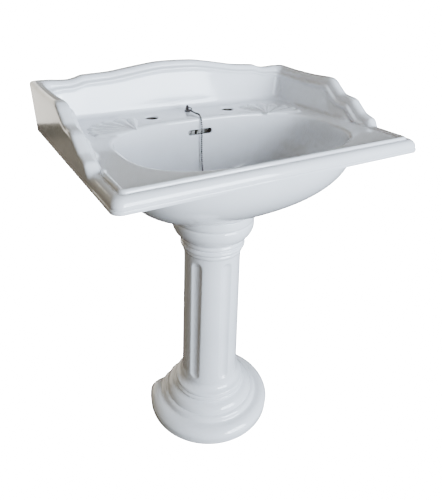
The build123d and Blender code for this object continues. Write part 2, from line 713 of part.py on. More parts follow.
PIECES = {
    "pedestal": pedestal,
    "pedestal_seat_pad": seat_pad,
    "waste_body": waste_body,
    "waste_flange_seal": lambda: ring(FLANGE_R - 0.5, THREAD_R + GAP, RECESS_Z, FLANGE_LOW),
    "waste_rubber_washer": lambda: ring(33.0, THREAD_R + GAP, BOSS_BOTTOM - 4, BOSS_BOTTOM),
    "waste_poly_washer": lambda: ring(32.0, THREAD_R + GAP, BOSS_BOTTOM - 6, BOSS_BOTTOM - 4),
    "waste_backnut": lambda: hexagon(54.0, THREAD_R + GAP, BOSS_BOTTOM - 17, BOSS_BOTTOM - 6),
    "plug_body": plug_body,
    "plug_seal_ring": plug_seal_ring,
    "plug_eye": plug_eye,
    "plug_ring": lambda: leaning_ring(WASTE_Y, EYE_Z, PLUG_RING_LEAN),
    "chain_end_link": lambda: end_link(CHAIN_ROUTE[-1], CHAIN_ROUTE[-2], 9.0),
    "plug_chain": plug_chain,
    "chain_top_link": lambda: end_link(CHAIN_ROUTE[0], CHAIN_ROUTE[1], 6.0),
    "stay_ring": lambda: leaning_ring(STAY_Y, STAY_EYE_Z, STAY_RING_LEAN),
    "chain_stay": chain_stay,
    "stay_top_washer": lambda: ring(7.0, 3.0 + GAP, DECK_Z, DECK_Z + 1.2, 0, STAY_Y),
    "stay_washer": lambda: ring(8.0, 3.0 + GAP, DECK_UNDERSIDE - 1.5, DECK_UNDERSIDE, 0, STAY_Y),
    "stay_nut": lambda: ring(5.5, 3.0 + GAP, DECK_UNDERSIDE - 6.5, DECK_UNDERSIDE - 1.5, 0, STAY_Y),
    "trap_inlet_nut": lambda: collar(THREAD_R + GAP, WASTE_END_Z + 0.5, WASTE_END_Z + 18, 26.5),
    "trap_inlet_seal": lambda: ring(THREAD_R, DIP_R + GAP, TRAP_TOP + 6, WASTE_END_Z),
    "trap_body": trap_body,
    "trap_dip_tube": trap_dip_tube,
    "trap_cup": trap_cup,
    "trap_cup_seal": lambda: ring(TRAP_R - 0.4, TRAP_R - 3.0, CUP_TOP - 1.2, CUP_TOP),
    "trap_outlet_nut": outlet_nut,
    "trap_outlet_seal": lambda: turned_to_wall(ring(18.5, PIPE_R + GAP, TRAP_R + 12, TRAP_R + 14.2)),
    "waste_pipe": waste_pipe,
}

SHAPES = casting_parts()
for name, make in PIECES.items():
    SHAPES[name] = make()

for name, shape in SHAPES.items():
    print(name, len(shape.solids()), round(shape.volume), shape.is_valid)
    export_step(shape, f"parts/{name}.step")
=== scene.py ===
"""Looks of the pedestal basin: glazed ceramic, aged plating, brass, rubber and white plastic.

The basin and the pedestal are built as rings of points in mesh code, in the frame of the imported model.
Lengths are in metres; MM turns millimetres into metres.
"""

import json
import math

import bpy
import numpy as np
from mathutils import Matrix, Vector


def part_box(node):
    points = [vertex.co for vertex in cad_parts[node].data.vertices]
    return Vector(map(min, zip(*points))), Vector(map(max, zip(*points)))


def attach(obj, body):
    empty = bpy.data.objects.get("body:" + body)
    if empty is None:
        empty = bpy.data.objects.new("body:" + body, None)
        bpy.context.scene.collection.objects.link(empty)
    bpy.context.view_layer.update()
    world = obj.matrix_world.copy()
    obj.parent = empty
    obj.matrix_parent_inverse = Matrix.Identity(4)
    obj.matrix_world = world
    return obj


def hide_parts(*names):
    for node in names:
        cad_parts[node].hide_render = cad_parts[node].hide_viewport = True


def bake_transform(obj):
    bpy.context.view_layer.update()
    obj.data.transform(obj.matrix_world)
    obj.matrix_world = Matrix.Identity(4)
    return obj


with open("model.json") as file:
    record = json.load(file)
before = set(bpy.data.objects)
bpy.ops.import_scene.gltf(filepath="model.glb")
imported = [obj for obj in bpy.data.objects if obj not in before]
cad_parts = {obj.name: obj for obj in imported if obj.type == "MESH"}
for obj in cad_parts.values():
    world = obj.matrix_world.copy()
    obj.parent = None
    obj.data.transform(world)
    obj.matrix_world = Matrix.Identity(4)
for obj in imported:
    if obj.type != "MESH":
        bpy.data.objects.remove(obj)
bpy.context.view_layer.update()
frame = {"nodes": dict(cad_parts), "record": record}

MM = 0.001

# The nodes that make up the basin's one casting
CASTING = ["basin_deck", "basin_tap_ledge", "basin_bowl_floor", "basin_overflow"]
CASTING += ["basin_wall_front_left", "basin_wall_front_right"]
CASTING += ["basin_wall_back_left", "basin_wall_back_right"]

# Places read from the frame
BASIN_LOW, BASIN_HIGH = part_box("basin_deck")
PEDESTAL_LOW, PEDESTAL_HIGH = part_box("pedestal")
SEAL_LOW, SEAL_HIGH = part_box("waste_flange_seal")
SIDE = BASIN_HIGH[0]
FRONT = BASIN_LOW[1]
BACK = BASIN_HIGH[1]
BOSS_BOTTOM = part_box("basin_bowl_floor")[0][2]
WASTE_Y = (SEAL_LOW[1] + SEAL_HIGH[1]) / 2
RECESS_Z = SEAL_LOW[2]
PLINTH_R = 177 * MM
PED_Y = PEDESTAL_LOW[1] + PLINTH_R
PED_TOP = PEDESTAL_HIGH[2]
PED_BACK = PEDESTAL_HIGH[1]

# Basin levels
DECK_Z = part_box("stay_top_washer")[0][2]
DECK_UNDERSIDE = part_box("stay_washer")[1][2]
LIP_BOTTOM = DECK_Z - 25 * MM
UPSTAND_Z = DECK_Z + 79 * MM
RAIL_BOTTOM = DECK_Z - 79 * MM
RAIL_HALF = 230 * MM
RAIL_THICKNESS = 30 * MM
SKIRT_IN = 24 * MM

# Bowl
BOWL_HALF_X = 245 * MM
BOWL_HALF_Y = 151 * MM
BOWL_Y = WASTE_Y - 60 * MM
BOWL_SHIFT = 60 * MM
BOWL_POWER = 2.8
DEPTH_POWER = 2.15
BOWL_STRAIGHT_Z = DECK_Z - 29 * MM
BOWL_FLOOR = DECK_Z - 179 * MM
HULL_STRAIGHT_Z = LIP_BOTTOM
HULL_FLOOR = DECK_Z - 190 * MM
HULL_WALL = 13 * MM
COVER_RISE = 18 * MM
COVER_HALF = 30 * MM
EDGE_ROUND = 7 * MM
RECESS_R = 33 * MM
WASTE_HOLE_R = 22.5 * MM
BOSS_R = 38 * MM

# Holes
TAP_X = 100 * MM
TAP_Y = FRONT + 386 * MM
TAP_R = 14.5 * MM
STAY_Y = FRONT + 405 * MM
STAY_HOLE_R = 4 * MM
SLOT_Z = DECK_Z - 32 * MM
SLOT_HALF_WIDTH = 31 * MM
SLOT_HALF_HEIGHT = 6 * MM
WALL_HOLE_X = 140 * MM
WALL_HOLE_Z = DECK_Z - 55 * MM
WALL_HOLE_R = 7 * MM
CUT_BELOW = 40 * MM


# Small helpers --------------------------------------------------------------------------------------------


def smooth(value, low, high):
    """0 below low, 1 above high, and a smooth step between them."""
    t = np.clip((value - low) / (high - low), 0, 1)
    return t * t * (3 - 2 * t)


def soft_floor(value, width):
    """The positive part of value, with its corner rounded over width."""
    return 0.5 * (value + np.sqrt(value * value + width * width))


def spread(start, end, count):
    """count values from start to end, without the end."""
    return np.linspace(start, end, count, endpoint=False)


def mesh_object(name, points, faces):
    """A smooth-shaded mesh object."""
    mesh = bpy.data.meshes.new(name)
    mesh.from_pydata([tuple(p) for p in points], [], faces)
    mesh.update()
    mesh.shade_smooth()
    obj = bpy.data.objects.new(name, mesh)
    bpy.context.scene.collection.objects.link(obj)
    return obj


def box_object(name, low, high):
    """A plain box used as a cutter."""
    points = [(x, y, z) for x in (low[0], high[0]) for y in (low[1], high[1]) for z in (low[2], high[2])]
    faces = [(0, 1, 3, 2), (4, 6, 7, 5), (0, 4, 5, 1), (2, 3, 7, 6), (0, 2, 6, 4), (1, 5, 7, 3)]
    return mesh_object(name, points, faces)


def ring_faces(count, rings, wrap):
    """Quads between rings of count points each; wrap joins the last ring to the first."""
    faces = []
    for r in range(rings if wrap else rings - 1):
        low = r * count
        high = ((r + 1) % rings) * count
        for i in range(count):
            j = (i + 1) % count
            faces.append((low + i, low + j, high + j, high + i))
    return faces


def ring_object(name, rings):
    """A closed ring-shaped body from rings of points that run round its section."""
    points = np.concatenate(rings)
    return mesh_object(name, points, ring_faces(len(rings[0]), len(rings), True))


def outward(obj):
    """Turns every face to point out of the body."""
    bpy.context.view_layer.objects.active = obj
    obj.select_set(True)
    bpy.ops.object.mode_set(mode="EDIT")
    bpy.ops.mesh.select_all(action="SELECT")
    bpy.ops.mesh.normals_make_consistent(inside=False)
    bpy.ops.object.mode_set(mode="OBJECT")
    obj.select_set(False)


def combine(obj, others, operation):
    """Unites others with obj, or cuts them out of it."""
    for other in others:
        outward(other)
        modifier = obj.modifiers.new("combine", "BOOLEAN")
        modifier.operation = operation
        modifier.solver = "EXACT"
        modifier.object = other
    bpy.context.view_layer.update()
    depsgraph = bpy.context.evaluated_depsgraph_get()
    mesh = bpy.data.meshes.new_from_object(obj.evaluated_get(depsgraph))
    obj.modifiers.clear()
    obj.data = mesh
    for other in others:
        bpy.data.objects.remove(other)


# Basin ----------------------------------------------------------------------------------------------------

# Points along each edge of the plan; a side has more of them where it is scalloped, between the two breaks
FRONT_STEPS = 130
SIDE_STEPS = (16, 84, 34)
SIDE_BREAKS = (0.19, 0.60)
BACK_STEPS = 132
CORNER_STEPS = 8


def side_fractions():
    """Places along a side edge, close together where the scallops are."""
    first, second = SIDE_BREAKS
    low = spread(0, first, SIDE_STEPS[0])
    middle = spread(first, second, SIDE_STEPS[1])
    high = spread(second, 1, SIDE_STEPS[2])
    return np.concatenate([low, middle, high])


def outline(inset, front_r, back_r):
    """Points round the basin's plan at an inset, with rounded corners, as one array for each segment."""
    left, right = -SIDE + inset, SIDE - inset
    front, back = FRONT + inset, BACK - inset
    sides = side_fractions()

    def corner(cx, cy, radius, start):
        turn = start + spread(0, math.pi / 2, CORNER_STEPS)
        return np.stack([cx + radius * np.cos(turn), cy + radius * np.sin(turn)], axis=1)

    def straight(x0, y0, x1, y1, steps):
        return np.stack([x0 + steps * (x1 - x0), y0 + steps * (y1 - y0)], axis=1)

    mirrored = 1 - np.append(sides[1:], 1)[::-1]
    return [
        straight(left + front_r, front, right - front_r, front, spread(0, 1, FRONT_STEPS)),
        corner(right - front_r, front + front_r, front_r, -math.pi / 2),
        straight(right, front + front_r, right, back - back_r, sides),
        corner(right - back_r, back - back_r, back_r, 0),
        straight(right - back_r, back, left + back_r, back, spread(0, 1, BACK_STEPS)),
        corner(left + back_r, back - back_r, back_r, math.pi / 2),
        straight(left, back - back_r, left, front + front_r, mirrored),
        corner(left + front_r, front + front_r, front_r, math.pi),
    ]


def curve_through(points, at):
    """A smooth curve through the points, with level ends, read at the given places."""
    xs = np.array([p[0] for p in points])
    ys = np.array([p[1] for p in points])
    slopes = np.zeros(len(xs))
    for i in range(1, len(xs) - 1):
        before = (ys[i] - ys[i - 1]) / (xs[i] - xs[i - 1])
        after = (ys[i + 1] - ys[i]) / (xs[i + 1] - xs[i])
        if before * after > 0:
            slopes[i] = 2 * before * after / (before + after)
    at = np.clip(at, xs[0], xs[-1])
    i = np.clip(np.searchsorted(xs, at) - 1, 0, len(xs) - 2)
    width = xs[i + 1] - xs[i]
    t = (at - xs[i]) / width
    rise = ys[i] * (1 + 2 * t) * (1 - t) ** 2 + ys[i + 1] * t * t * (3 - 2 * t)
    return rise + slopes[i] * width * t * (1 - t) ** 2 - slopes[i + 1] * width * t * t * (1 - t)


# Upstand tops, as millimetres from the lip's front or from the middle, and millimetres below UPSTAND_Z
SIDE_CREST = [(84, 87), (94, 84.5), (104, 81), (110, 78), (118, 71), (127, 63.5), (136, 61), (150, 57)]
SIDE_CREST += [(162, 49.5), (173, 41.5), (184, 34), (196, 31), (212, 29.7), (223, 27.5), (233, 21.5)]
SIDE_CREST += [(244, 14), (256, 5.5), (268, 0.8), (280, 0), (310, 1.5), (350, 3), (400, 3)]
SIDE_CREST += [(440, 1.5), (480, 0)]
BACK_CREST = [(0, -26), (40, -25.3), (85, -20.5), (125, -14.8), (165, -9.3), (205, -7), (222, -6)]
BACK_CREST += [(240, -0.8), (256, 1.8), (275, 1.5), (300, 0.2), (330, 0)]


def side_top(y):
    """Height of a side upstand's top at a place along the side."""
    drops = [(FRONT + place * MM, UPSTAND_Z - drop * MM) for place, drop in SIDE_CREST]
    return curve_through(drops, y)


def back_top(x):
    """Height of the back upstand's top at a place across the back."""
    drops = [(place * MM, UPSTAND_Z - drop * MM) for place, drop in BACK_CREST]
    return curve_through(drops, np.abs(x))


def lowered(top, places, width):
    """A top line moved in by width at right angles to itself, read at the given places."""
    if width <= 0:
        return top(places)
    angles = np.linspace(-math.pi / 2, math.pi / 2, 41)
    reach = width * np.sin(angles)
    drop = width * np.cos(angles)
    return (top(places[:, None] + reach[None, :]) - drop[None, :]).min(axis=1)


def lip_section():
    """The front lip's section from the deck outwards, as (inset, z), in runs that match wall_section."""
    deck = [(34.0 - 0.7 * i, 0) for i in range(6)]
    bead_in = [(24.2 + 5.2 * math.cos(a), 5.3 * math.sin(a) ** 1.3) for a in spread(0.02, math.pi / 2, 8)]
    bead_out = [(24.2 - 5.0 * math.sin(a), 0.7 + 4.6 * math.cos(a)) for a in spread(0, math.pi / 2, 7)]
    groove = [(19.1, 0.4), (18.7, -0.1), (18.0, -0.4), (17.2, -0.2), (16.4, 0.3)]
    ovolo = [(16.0 - 14.2 * math.sin(a), -15.4 + 16.0 * math.cos(a)) for a in spread(0.08, 1.56, 12)]
    step = [(1.9, -15.8), (2.1, -16.5), (1.7, -17.1), (0.6, -17.6)]
    fascia = [(0.1, -18.4), (0, -20), (0, -22), (0.5, -24.2)]
    section = deck + bead_in + bead_out + groove + ovolo + step + fascia
    return [(inset * MM, DECK_Z + rise * MM) for inset, rise in section]


# The upstands' section: the deck's edge, the flat panel, and the moulded border along the top
FOOT_IN = 48 * MM
PANEL_FOOT_IN = 37 * MM
PANEL_TOP_IN = 30.4 * MM
PANEL_FILLET = 11 * MM
BORDER = 22.5 * MM
SIDE_BORDER_WIDER = 1.25

# The border's rows in millimetres: inset, distance below the top line, and bulge
BORDER_ROWS = [
    (30.6, 20.5, 0.0), (30.4, 19.0, 1.2), (30.2, 17.4, 2.3), (30.0, 15.8, 2.6), (29.6, 14.2, 2.1),
    (28.8, 12.8, 1.0), (27.8, 11.8, -0.4), (26.8, 10.6, -0.6), (26.0, 8.8, -0.2), (25.2, 6.8, 0.0),
    (24.2, 4.6, 0.0), (22.4, 2.4, 0.0), (20.0, 1.0, 0.0), (17.0, 0.3, 0.0), (13.0, 0.0, 0.0),
    (9.0, 0.0, 0.0), (6.0, 0.1, 0.0), (4.0, 0.5, 0.0), (2.4, 1.3, 0.0), (1.1, 2.5, 0.0),
    (0.3, 4.2, 0.0), (0.0, 6.0, 0.0),
]

# The fascia's rows in millimetres: inset and distance below the deck, with the step above it
FASCIA_TOP = 17.6
FASCIA_ROWS = [(0.0, 18.4), (0.0, 20), (0.0, 22), (0.5, 24.2)]


# Heights above the deck over which a side upstand grows out of the lip, and its border's bulge sets in
LIP_UP_TO = -7 * MM
UPSTAND_FROM = 15 * MM
BULGE_FROM = 6 * MM
BULGE_FULL = 30 * MM

# The plan's segments, as outline gives them
SIDE_SEGMENTS = (2, 6)
BACK_SEGMENTS = (3, 4, 5)


def wall_section(top, places):
    """An upstand's section, from the deck over its top and down, as rows of (inset, bulge, heights)."""
    widen = SIDE_BORDER_WIDER if top is side_top else 1.0
    border_z = np.maximum(lowered(top, places, BORDER * widen), DECK_Z)
    rise = border_z - DECK_Z
    fillet = np.minimum(PANEL_FILLET, 0.45 * rise)
    rows = []
    for a in np.linspace(0, math.pi / 2, 6):
        inset = FOOT_IN - (FOOT_IN - PANEL_FOOT_IN) * math.sin(a)
        rows.append((inset, 0.0, DECK_Z + fillet * (1 - math.cos(a))))
    for f in np.linspace(0.12, 0.97, 8):
        inset = PANEL_FOOT_IN + f * (PANEL_TOP_IN - PANEL_FOOT_IN)
        rows.append((inset, 0.0, DECK_Z + fillet + f * (rise - fillet)))
    for inset, width, bulge in BORDER_ROWS:
        drop = width * widen * MM
        rows.append((inset * MM, bulge * MM, np.maximum(lowered(top, places, drop), DECK_Z)))
    outer_top = rows[-1][2]
    for f in np.linspace(0.12, 1, 6):
        rows.append((0.0, 0.0, outer_top + f * (DECK_Z - FASCIA_TOP * MM - outer_top)))
    for inset, drop in FASCIA_ROWS:
        rows.append((inset * MM, 0.0, np.full(len(places), DECK_Z - drop * MM)))
    return rows


def edge_share(top, places):
    """How far the section has turned from lip to upstand: 0 on the lip, 1 on the upstand."""
    return smooth(top(places) - DECK_Z, LIP_UP_TO, UPSTAND_FROM)


def edge_plan(inset):
    """The basin's outline at an inset, with corners that suit the edge moulding."""
    return outline(inset, 17 * MM - 0.35 * inset, 9 * MM + 0.25 * inset)


def edge_height_and_share(segment, near, far, lip_z, row):
    """For one segment of the plan: the upstand's height, its share of the section, and the row's height."""
    if segment in SIDE_SEGMENTS:
        height = side_top(far[:, 1]) - DECK_Z
        return height, edge_share(side_top, near[:, 1]), wall_section(side_top, far[:, 1])[row][2]
    if segment in BACK_SEGMENTS:
        return back_top(far[:, 0]) - DECK_Z, np.ones(len(near)), corner_row(row, far)
    return np.zeros(len(near)), np.zeros(len(near)), np.full(len(near), lip_z)


def edge_rings():
    """The rings from the deck's edge over the lip or the upstands, down to the outer face's foot."""
    lip = lip_section()
    side_rows = wall_section(side_top, edge_plan(0)[2][:, 1])
    rings = []
    for k, (lip_inset, lip_z) in enumerate(lip):
        inset, bulge, _ = side_rows[k]
        points = []
        plans = zip(edge_plan(lip_inset), edge_plan(inset), edge_plan(inset + bulge))
        for segment, (near, far, swollen) in enumerate(plans):
            height, share, z = edge_height_and_share(segment, near, far, lip_z, k)
            far = far + smooth(height, BULGE_FROM, BULGE_FULL)[:, None] * (swollen - far)
            plan = near + share[:, None] * (far - near)
            points.append(np.column_stack([plan, lip_z + share * (z - lip_z)]))
        rings.append(np.concatenate(points))
    return rings


def corner_row(k, plan):
    """Row k of the back upstand's section, eased into the side's section at the corners."""
    back = wall_section(back_top, plan[:, 0])[k][2]
    side = wall_section(side_top, plan[:, 1])[k][2]
    near_corner = smooth(np.abs(plan[:, 0]), SIDE - 62 * MM, SIDE - 34 * MM)
    return back + near_corner * (side - back)


def superellipse(direction, half_x, half_y, power):
    """Points of a superellipse in the given directions."""
    cos = np.abs(np.cos(direction)) / half_x
    sin = np.abs(np.sin(direction)) / half_y
    radius = (cos**power + sin**power) ** (-1 / power)
    return np.stack([radius * np.cos(direction), radius * np.sin(direction)], axis=1)


def bowl_ring(direction, offset, fraction, straight_z, floor_z):
    """A ring of the bowl at a share of its depth, offset outwards from the inner face."""
    scale = (1 - fraction**DEPTH_POWER) ** (1 / DEPTH_POWER)
    power = BOWL_POWER - 0.7 * fraction**2
    plan = superellipse(direction, (BOWL_HALF_X + offset) * scale, (BOWL_HALF_Y + offset) * scale, power)
    plan[:, 1] += BOWL_Y + BOWL_SHIFT * fraction**2
    z = straight_z - fraction * (straight_z - floor_z)
    return np.column_stack([plan, np.full(len(plan), z)])


def round_ring(direction, radius, z):
    """A circle round the waste's axis."""
    x = radius * np.cos(direction)
    y = WASTE_Y + radius * np.sin(direction)
    return np.column_stack([x, y, np.full(len(direction), z)])


def depth_fractions(count, deepest):
    """Shares of the depth that are evenly spaced along the bowl's curved section."""
    return np.sin(np.linspace(0, math.asin(deepest), count))


def bowl_rings(direction):
    """The inside of the bowl, from the waste hole up to the deck."""
    rings = [
        round_ring(direction, WASTE_HOLE_R, RECESS_Z - 3 * MM),
        round_ring(direction, WASTE_HOLE_R + 0.4 * MM, RECESS_Z - 0.6 * MM),
        round_ring(direction, WASTE_HOLE_R + 1.4 * MM, RECESS_Z),
        round_ring(direction, RECESS_R - 1.5 * MM, RECESS_Z),
        round_ring(direction, RECESS_R - 0.3 * MM, RECESS_Z + 0.5 * MM),
        round_ring(direction, RECESS_R + 0.6 * MM, RECESS_Z + 2.0 * MM),
        round_ring(direction, RECESS_R + 3.0 * MM, RECESS_Z + 3.4 * MM),
    ]
    for fraction in depth_fractions(36, 0.975)[::-1]:
        ring = bowl_ring(direction, 0, fraction, BOWL_STRAIGHT_Z, BOWL_FLOOR)
        ring[:, 2] += 1.2 * MM * smooth(fraction, 0.86, 0.985)
        rings.append(ring)
    for angle in (0, 18, 36, 54, 72, 90):
        turn = math.radians(angle)
        ring = bowl_ring(direction, EDGE_ROUND * (1 - math.cos(turn)), 0, 0, 0)
        ring[:, 2] = DECK_Z - EDGE_ROUND * (1 - math.sin(turn))
        rings.append(ring)
    return rings


def between(first, last, count):
    """count rings evenly placed between two rings, without either of them."""
    return [first + (last - first) * (i + 1) / (count + 1) for i in range(count)]


def skirt_rings(foot):
    """From the outer face's foot under the lip, or under the wall rail, and up to the deck's underside."""
    at_back = smooth(foot[:, 1], BACK - 1.5 * MM, BACK - 0.2 * MM)
    rail = at_back * (1 - smooth(np.abs(foot[:, 0]), RAIL_HALF - 3 * MM, RAIL_HALF + 3 * MM))
    foot_z = LIP_BOTTOM + rail * (RAIL_BOTTOM - LIP_BOTTOM)
    outer = foot.copy()
    outer[:, 2] = foot_z + 2 * MM
    rings = between(foot, outer, 3)
    rings.append(outer)
    inner = np.concatenate(outline(SKIRT_IN, 8 * MM, 12 * MM))
    slim = np.concatenate(outline(RAIL_THICKNESS, 8 * MM, 12 * MM))
    inner = inner + rail[:, None] * (slim - inner)
    for share, rise in ((0.07, 0.3 * MM), (0.2, 0.0), (0.8, 0.0), (0.95, 0.4 * MM)):
        plan = foot[:, :2] + share * (inner - foot[:, :2])
        rings.append(np.column_stack([plan, foot_z + rise]))
    rings.append(np.column_stack([inner, foot_z + 2 * MM]))
    ceiling = np.column_stack([inner, np.full(len(foot), DECK_UNDERSIDE - 2 * MM)])
    rings.extend(between(rings[-1], ceiling, 2))
    rings.append(ceiling)
    rings.append(np.column_stack([inner * 0.992, np.full(len(foot), DECK_UNDERSIDE)]))
    return rings


def hull_rings(direction):
    """The bowl's outer face, from the top down, with the overflow's cover raised at the back."""
    rings = []
    for fraction in np.concatenate([[0.0], depth_fractions(26, 0.97)[1:]]):
        ring = bowl_ring(direction, HULL_WALL, fraction, HULL_STRAIGHT_Z, HULL_FLOOR)
        cover = COVER_RISE * (1 - smooth(np.abs(ring[:, 0]), COVER_HALF, COVER_HALF + 12 * MM))
        cover = cover * smooth(np.sin(direction), 0.2, 0.6) * (1 - smooth(fraction, 0.93, 0.98))
        ring[:, 1] += cover
        rings.append(ring)
    return rings


def boss_rings(direction):
    """The round boss under the bowl, and the waste hole's wall inside it."""
    section = [(BOSS_R, HULL_FLOOR + 3 * MM), (BOSS_R, BOSS_BOTTOM + 1.5 * MM)]
    section += [(BOSS_R - 1.5 * MM, BOSS_BOTTOM), (WASTE_HOLE_R, BOSS_BOTTOM)]
    section += [(WASTE_HOLE_R, BOSS_BOTTOM + 8 * MM)]
    return [round_ring(direction, radius, z) for radius, z in section]


def underside_rings(direction, foot):
    """From the outer face's foot, under the lip and the deck, down the bowl's hull, to the waste hole."""
    skirt = skirt_rings(foot)
    end = bowl_ring(direction, HULL_WALL + 3 * MM, 0, 0, 0)
    end[:, 2] = DECK_UNDERSIDE
    ceiling = between(skirt[-1], end, 5) + [end]
    return skirt + ceiling + hull_rings(direction) + boss_rings(direction)


def hole_cutter(name, radius, x, y, z_low, z_mouth):
    """A round hole's cutter whose mouth opens with a rounded glazed edge."""
    flare = 2.2 * MM
    profile = [(radius, z_low)]
    for angle in np.linspace(0, math.pi / 2, 6):
        profile.append((radius + flare * (1 - math.cos(angle)), z_mouth - flare + flare * math.sin(angle)))
    profile.append((radius + flare, z_mouth + 4 * MM))
    angles = spread(0, 2 * math.pi, 64)
    points = []
    for r, z in profile:
        points.extend((x + r * math.cos(a), y + r * math.sin(a), z) for a in angles)
    faces = ring_faces(64, len(profile), False)
    faces.append(tuple(range(64)))
    faces.append(tuple(range((len(profile) - 1) * 64, len(profile) * 64)))
    return mesh_object(name, points, faces)


def slot_cutter():
    """The overflow slot's cutter: a round-ended bar along Y with a rounded mouth."""
    mouth = BOWL_Y + BOWL_HALF_Y - 0.2 * MM
    flare = 2.0 * MM
    rows = [(mouth - 12 * MM, flare)]
    for angle in np.linspace(math.pi / 2, 0, 6):
        rows.append((mouth + flare * (1 - math.sin(angle)), flare * (1 - math.cos(angle))))
    rows.append((mouth + 19 * MM, 0.0))
    half = SLOT_HALF_WIDTH - SLOT_HALF_HEIGHT
    points = []
    count = 48
    for y, grow in rows:
        radius = SLOT_HALF_HEIGHT + grow
        for i in range(count):
            a = 2 * math.pi * i / count
            x = radius * math.cos(a) + math.copysign(half, math.cos(a) + 1e-9)
            points.append((x, y, SLOT_Z + radius * math.sin(a)))
    faces = ring_faces(count, len(rows), False)
    faces.append(tuple(range(count)))
    faces.append(tuple(range((len(rows) - 1) * count, len(rows) * count)))
    return mesh_object("overflow_cutter", points, faces)


def wall_hole_cutter(side):
    """A wall bolt's hole through the rail."""
    cutter = hole_cutter("wall_hole_cutter", WALL_HOLE_R, 0, 0, -50 * MM, 0)
    place = Matrix.Translation((side * WALL_HOLE_X, BACK - RAIL_THICKNESS, WALL_HOLE_Z))
    cutter.data.transform(place @ Matrix.Rotation(math.pi / 2, 4, "X"))
    return cutter


def hull_height(x, y):
    """Height of the bowl's outer face above a place in plan."""
    low, high = np.zeros(len(x)), np.full(len(x), 0.9999)
    for _ in range(30):
        t = (low + high) / 2
        scale = (1 - t**DEPTH_POWER) ** (1 / DEPTH_POWER)
        power = BOWL_POWER - 0.7 * t**2
        across = np.abs(x) / ((BOWL_HALF_X + HULL_WALL) * scale)
        along_y = np.abs(y - BOWL_Y - BOWL_SHIFT * t**2) / ((BOWL_HALF_Y + HULL_WALL) * scale)
        inside = across**power + along_y**power < 1
        low, high = np.where(inside, t, low), np.where(inside, high, t)
    return HULL_STRAIGHT_Z - low * (HULL_STRAIGHT_Z - HULL_FLOOR)


# The foot ring that the pedestal carries, and the soft pad under it
SEAT_R = 92 * MM
SEAT_WALL = 12 * MM
PAD_THICKNESS = 3 * MM
SEAT_SUNK = 4 * MM


def seat_ring():
    """The foot ring under the bowl, which reaches a little way into the bowl's wall."""
    angles = spread(0, 2 * math.pi, 128)
    foot = PED_TOP + PAD_THICKNESS
    outer_top = hull_height(SEAT_R * np.cos(angles), PED_Y + SEAT_R * np.sin(angles)) + SEAT_SUNK
    inner = SEAT_R - SEAT_WALL
    inner_top = hull_height(inner * np.cos(angles), PED_Y + inner * np.sin(angles)) + SEAT_SUNK
    rings = []
    section = [(SEAT_R, outer_top), (SEAT_R, foot + 1.5 * MM), (SEAT_R - 0.5 * MM, foot + 0.4 * MM)]
    section += [(SEAT_R - 1.5 * MM, foot), (inner + 1.5 * MM, foot)]
    section += [(inner, foot + 1.5 * MM), (inner, inner_top)]
    for radius, z in section:
        x = radius * np.cos(angles)
        y = PED_Y + radius * np.sin(angles)
        rings.append(np.column_stack([x, y, np.broadcast_to(z, len(angles))]))
    return ring_object("seat_ring", rings)


# The shell reliefs: the tip by the bowl, the angles from the first rib to the last, and the ribs' reach
SHELL_TIP = (166 * MM, FRONT + 311 * MM)
SHELL_TURN = (-20, 114)
SHELL_REACH = 104 * MM
SHELL_FLATTEN = 0.92
SHELL_RIBS = 7
SHELL_RISE = 7.5 * MM
SHELL_ACROSS = 141
SHELL_OUTWARD = 44


def shell_point(turn, reach):
    """A point of the right-hand shell, at a share of its fan and of its reach: (x, y, height)."""
    rib = abs(math.sin(math.pi * SHELL_RIBS * turn))
    edge = min(1.0, 14 * turn, 14 * (1 - turn))
    lobe = 0.78 + 0.12 * math.sin(math.pi * turn) + 0.10 * rib**0.6
    angle = math.radians(SHELL_TURN[0] + turn * (SHELL_TURN[1] - SHELL_TURN[0]))
    radius = SHELL_REACH * lobe * reach
    x = SHELL_TIP[0] + radius * math.cos(angle)
    y = SHELL_TIP[1] + SHELL_FLATTEN * radius * math.sin(angle)
    swell = math.sin(math.pi * min(1.0, reach * 1.02)) ** 0.45 if 0 < reach < 0.98 else 0.0
    scroll = 0.75 + 0.5 * math.exp(-(((reach - 0.90) / 0.06) ** 2))
    height = SHELL_RISE * (0.18 + 0.82 * rib**0.8) * (0.4 + 0.6 * reach) * edge**0.5 * swell * scroll
    return x, y, height


def shell_faces():
    """The faces of a closed slab from its two grids of points: top, base and rim."""
    across, steps = SHELL_ACROSS, SHELL_OUTWARD
    half = across * (steps + 1)
    faces = []
    for i in range(steps):
        for j in range(across - 1):
            a = i * across + j
            b, c, d = a + 1, a + 1 + across, a + across
            faces.append((a, b, c, d))
            faces.append((half + d, half + c, half + b, half + a))
    rim = [j for j in range(across)] + [i * across + across - 1 for i in range(1, steps + 1)]
    rim += [steps * across + j for j in range(across - 2, -1, -1)]
    rim += [i * across for i in range(steps - 1, 0, -1)]
    for a, b in zip(rim, rim[1:] + rim[:1]):
        faces.append((b, a, half + a, half + b))
    return faces


def shell_relief(side):
    """A fan of rounded ribs that spreads from its pointed tip by the bowl to the deck's back corner."""
    top, base = [], []
    for i in range(SHELL_OUTWARD + 1):
        for j in range(SHELL_ACROSS):
            x, y, height = shell_point(j / (SHELL_ACROSS - 1), i / SHELL_OUTWARD)
            top.append((side * x, y, DECK_Z - 0.4 * MM + height))
            base.append((side * x, y, DECK_Z - 3 * MM))
    return mesh_object("shell_relief", top + base, shell_faces())


def join(obj, others):
    """Makes others part of obj's mesh."""
    for other in others:
        outward(other)
    with bpy.context.temp_override(active_object=obj, selected_editable_objects=[obj] + others):
        bpy.ops.object.join()


